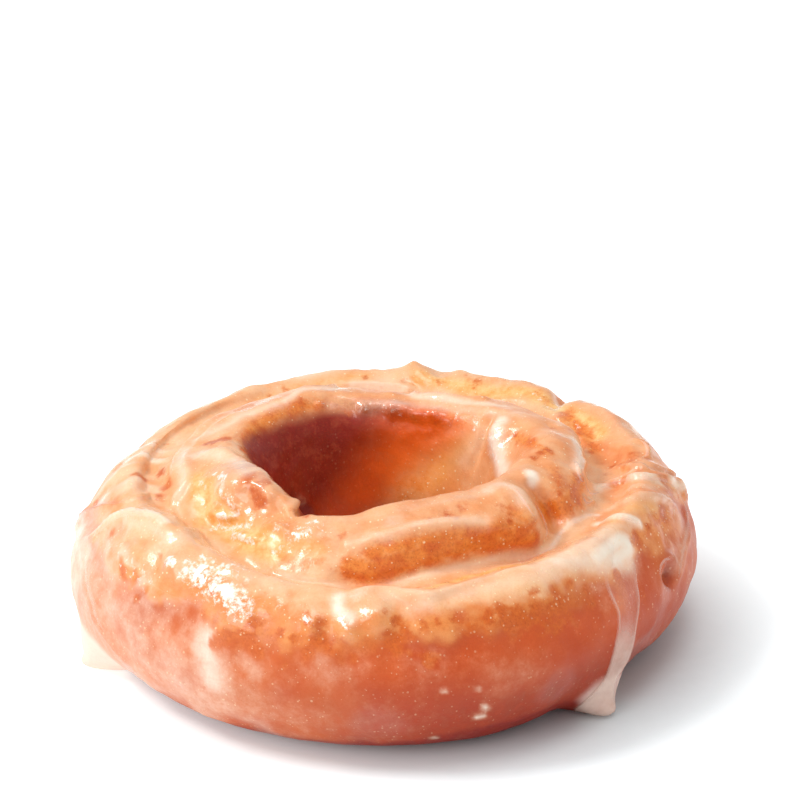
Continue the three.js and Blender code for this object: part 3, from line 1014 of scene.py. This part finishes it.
def glaze_piece(name, grid, material):
    """Turns a laid grid into a piece that rides with the doughnut."""
    bmesh.ops.recalc_face_normals(grid, faces=grid.faces)
    mesh = bpy.data.meshes.new(name)
    grid.to_mesh(mesh)
    grid.free()
    mesh.polygons.foreach_set("use_smooth", [True] * len(mesh.polygons))
    mesh.materials.append(material)
    piece = bpy.data.objects.new(name, mesh)
    piece.visible_shadow = False  # light passes through a film this thin
    bpy.context.scene.collection.objects.link(piece)
    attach(piece, "root")
    print(name, len(mesh.polygons), "faces")


# %% Glaze material
glaze = Finish("milky_glaze")
cloud = glaze.noise(2.0, detail=3)
glaze.set(
    Base_Color=glaze.mix(cloud, paint(246, 212, 192), paint(255, 236, 222)),
    Roughness=0.16 + cloud * 0.1,
    IOR=1.45,
    Alpha=glaze.stored("thickness") * (0.6 + cloud * 0.4),
    Normal=glaze.bump(cloud, distance=0.1, strength=0.4),
)
print("glaze material:", len(glaze.tree.nodes), "nodes")

# %% Ribbon of glaze
RIBBON_LEFT = [
    (600, 566), (603, 578), (606, 590), (611, 601), (616, 612), (617, 624), (615, 639), (610, 660),
    (602, 680), (586, 698), (568, 712), (562, 717),
]
RIBBON_RIGHT = [
    (635, 552), (637, 566), (638, 582), (640, 598), (639, 612), (636, 628), (633, 645), (626, 663),
    (616, 677), (614, 690), (617, 706), (616, 715),
]
RIBBON_ROWS = 120
RIBBON_COLUMNS = 24
RIBBON_RISE = 0.4  # mm above the dough at its raised edges
RIBBON_SINK = 0.1  # mm below the dough at its outermost edge
RIM_AT = 0.08  # the rim's place across the ribbon, as a share of its width
RIM_WIDTH = 0.06  # also a share of the ribbon's width, as is the next
EDGE_FADE = 0.06

ribbon_grid = bmesh.new()
bmesh.ops.create_grid(ribbon_grid, x_segments=RIBBON_COLUMNS, y_segments=RIBBON_ROWS, size=1)
thickness_layer = ribbon_grid.verts.layers.float.new("thickness")
for vertex in ribbon_grid.verts:
    share_across = (vertex.co.x + 1) / 2
    share_down = (1 - vertex.co.y) / 2
    left = curve_point(RIBBON_LEFT, share_down)
    right = curve_point(RIBBON_RIGHT, share_down)
    lies_at = on_dough(tuple(left + (right - left) * share_across), finished_tree)
    outward = finished_tree.find_nearest(lies_at)[1]
    from_edge = min(share_across, 1 - share_across)
    rim = math.exp(-(((from_edge - RIM_AT) / RIM_WIDTH) ** 2))
    filled = float(ease(share_down, 0.38, 0.6))
    begun = float(ease(share_down, 0, 0.25))
    inside = float(ease(from_edge, 0, EDGE_FADE))
    rise = inside * begun * RIBBON_RISE * max(rim, 0.25 + 0.55 * filled) - RIBBON_SINK * (1 - inside)
    vertex.co = lies_at + outward * (rise * MM)
    vertex.co.z = max(vertex.co.z, 0)
    vertex[thickness_layer] = begun * inside * max(0.5 * rim, 0.15 + 0.45 * filled)
bmesh.ops.smooth_vert(
    ribbon_grid, verts=ribbon_grid.verts, factor=0.35, use_axis_x=True, use_axis_y=True, use_axis_z=True
)
glaze_piece("glaze_ribbon", ribbon_grid, glaze.material)

# %% Threads of glaze along the folds
# name: (thickness, width, pixels)
THREADS = {
    "left_fold": (0.35, 0.6, [(88, 541), (103, 528), (117, 517), (134, 514), (153, 518)]),
    "left_curtain": (
        0.45, 0.7,
        [(89, 542), (87, 555), (86, 568), (88, 585), (93, 602), (96, 616), (105, 633)],
    ),
    "left_wrinkle": (0.3, 0.5, [(120, 504), (136, 499), (150, 498), (162, 501)]),
    "tip_arc_a": (0.6, 0.45, [(502, 486), (509, 486), (518, 493), (527, 506), (536, 519)]),
    "tip_arc_b": (0.5, 0.4, [(533, 502), (539, 509), (544, 519), (547, 532), (544, 540)]),
    "groove": (
        0.35, 0.55,
        [(538, 554), (549, 549), (558, 538), (562, 531), (574, 522), (586, 516), (598, 513)],
    ),
    "tear_a": (0.6, 0.4, [(577, 460), (577, 468), (581, 480), (585, 481)]),
    "tear_b": (0.6, 0.45, [(585, 482), (588, 490), (592, 494), (600, 492)]),
    "tear_c": (0.6, 0.4, [(583, 496), (586, 502), (589, 503), (594, 500)]),
    "pale_fold": (0.4, 0.6, [(600, 520), (616, 517), (631, 520), (641, 524)]),
    "right_arc_a": (0.35, 0.5, [(597, 489), (619, 481), (641, 478), (663, 480), (677, 489)]),
    "right_arc_b": (
        0.35, 0.5,
        [(677, 489), (685, 505), (688, 524), (685, 541), (681, 563), (678, 585)],
    ),
    "right_arc_c": (0.3, 0.45, [(646, 462), (668, 472), (682, 486), (693, 510)]),
    "back_hook": (0.5, 0.45, [(638, 438), (646, 445), (647, 454), (643, 457)]),
    "pit_lip": (0.4, 0.4, [(660, 578), (661, 566), (666, 559), (672, 561)]),
}
THREAD_ROWS = 48
THREAD_COLUMNS = 6
THREAD_RISE = 0.16  # height of a thread as a share of its width
THREAD_SINK = 0.03  # mm that its edges sink into the dough
LOOK_ALONG = 0.02  # how far to look ahead and behind for a thread's direction, as a share of it

thread_grid = bmesh.new()
thread_layer = thread_grid.verts.layers.float.new("thickness")
for thickness, width, pixels in THREADS.values():
    strip = bmesh.ops.create_grid(thread_grid, x_segments=THREAD_COLUMNS, y_segments=THREAD_ROWS, size=1)
    for vertex in strip["verts"]:
        share_across = vertex.co.x
        share_down = (1 - vertex.co.y) / 2
        middle = on_dough(curve_point(pixels, share_down), finished_tree)
        ahead = on_dough(curve_point(pixels, min(1, share_down + LOOK_ALONG)), finished_tree)
        behind = on_dough(curve_point(pixels, max(0, share_down - LOOK_ALONG)), finished_tree)
        outward = finished_tree.find_nearest(middle)[1]
        sideways = (ahead - behind).cross(outward).normalized()
        taper = math.sin(math.pi * min(1, max(0, share_down))) ** 0.5
        beside = middle + sideways * (share_across * width * taper * MM)
        lies_at, outward = finished_tree.find_nearest(beside)[:2]
        crown = 1 - share_across**2
        vertex.co = lies_at + outward * ((THREAD_RISE * width * crown * taper - THREAD_SINK) * MM)
        vertex[thread_layer] = thickness * taper * crown**1.5
glaze_piece("glaze_threads", thread_grid, glaze.material)

# %% [markdown]
# ## Table and light
#
# The table is plain and nearly white. One broad soft light hangs above and to the left: it draws
# the white glints on the left shoulders and sends the shadow to the right. Two weaker lights and
# the pale world fill the front, so that the belly stays readable. Away from the doughnut the table
# itself gives off a little painted light, as paper lit from behind does, which keeps it white and
# lightens the far end of the shadow. Its blue-grey colour cancels the pink light that the
# doughnut throws onto it.

# %% Floor
FLOOR_HALF = 1.5  # metres
SHADE_MIDDLE = (10 * MM, -4 * MM, 0)  # no light comes from the floor round here
SHADE_TO = 30 * MM
GLOW_FROM = 60 * MM

floor_grid = bmesh.new()
bmesh.ops.create_grid(floor_grid, x_segments=1, y_segments=1, size=FLOOR_HALF)
floor_mesh = bpy.data.meshes.new("floor")
floor_grid.to_mesh(floor_mesh)
floor_grid.free()
floor = bpy.data.objects.new("floor", floor_mesh)
bpy.context.scene.collection.objects.link(floor)
paper = Finish("white_paper")
fibres = paper.noise(3.0)
ends = {0: paper.place, 1: SHADE_MIDDLE}
away = paper.node("ShaderNodeVectorMath", {"operation": "DISTANCE"}, ends, output="Value")
lit = paper.ease(away, SHADE_TO, GLOW_FROM)
paper.set(
    # blue-grey, to cancel the pink light thrown onto the floor from the doughnut
    Base_Color=paper.mix(fibres, paint(210, 219, 222), paint(216, 225, 228)),
    Roughness=0.8,
    Emission_Color=paper.mix(lit, paint(0, 0, 0), paint(255, 255, 255)),
    Emission_Strength=0.6,
)
floor_mesh.materials.append(paper.material)
print("floor:", len(floor_mesh.polygons), "face")

# %% Lights
# places and sizes in metres, power in watts
LIGHTS = {
    "key": dict(place=(-0.82, 0.00, 1.00), size=0.40, power=8.4),
    "overhead": dict(place=(0.10, -0.10, 1.20), size=0.50, power=2.6),
    "fill": dict(place=(-0.70, -0.70, 0.60), size=0.50, power=1.8),
}
for name, light in LIGHTS.items():
    lamp = bpy.data.objects.new(name, bpy.data.lights.new(name, "AREA"))
    lamp.data.shape = "DISK"
    lamp.data.size = light["size"]
    lamp.data.energy = light["power"]
    lamp.location = light["place"]
    lamp.rotation_euler = (MIDDLE - lamp.location).to_track_quat("-Z", "Y").to_euler()
    bpy.context.scene.collection.objects.link(lamp)
print("lights:", list(LIGHTS))

# %% The pale world round it
WORLD_STRENGTH = 0.6

world = bpy.data.worlds.new("pale_room")
bpy.context.scene.world = world
world.use_nodes = True
background = world.node_tree.nodes["Background"]
background.inputs["Color"].default_value = (1.0, 1.0, 1.0, 1.0)
background.inputs["Strength"].default_value = WORLD_STRENGTH
bpy.context.scene.view_settings.view_transform = "Standard"
print("world strength", WORLD_STRENGTH)
